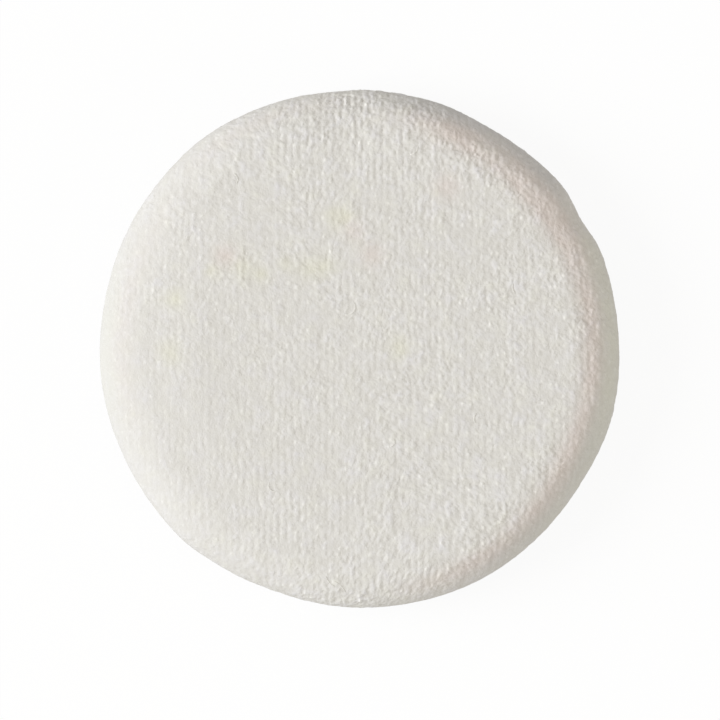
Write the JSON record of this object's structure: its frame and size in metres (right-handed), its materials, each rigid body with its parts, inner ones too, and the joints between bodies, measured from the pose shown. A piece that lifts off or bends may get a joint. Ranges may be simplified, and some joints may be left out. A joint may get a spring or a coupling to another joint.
{
  "type": "powder puff",
  "caption": "Round white velour powder puff: a soft foam-filled pad with a crowned powder face, a rolled rim sewn all round and a ribbon finger band across the back.",
  "frame": {"origin": "middle of the puff on the surface that it lies on, face up", "axes": "+Z out of the powder face, Y along the finger band, X across the band"},
  "size_m": [0.0652, 0.0641, 0.0108],
  "materials": {
    "velour": "white knitted cotton velour with fine ribs",
    "foam": "open-cell foam",
    "satin_ribbon": "satin",
    "thread": "spun sewing thread"
  },
  "bodies": {
    "puff": {"face_cover": "velour", "back_cover": "velour", "foam_pad": "foam", "seam_thread": "thread", "closing_thread": "thread"},
    "band": {"finger_band": "satin_ribbon"}
  },
  "joints": [
    {"name": "band_lift", "type": "slide", "parent": "puff", "child": "band", "axis": [0, 0, -1], "range_m": [0, 0.01], "stiffness_N_per_m": 10, "deforming": ["finger_band"]}
  ]
}
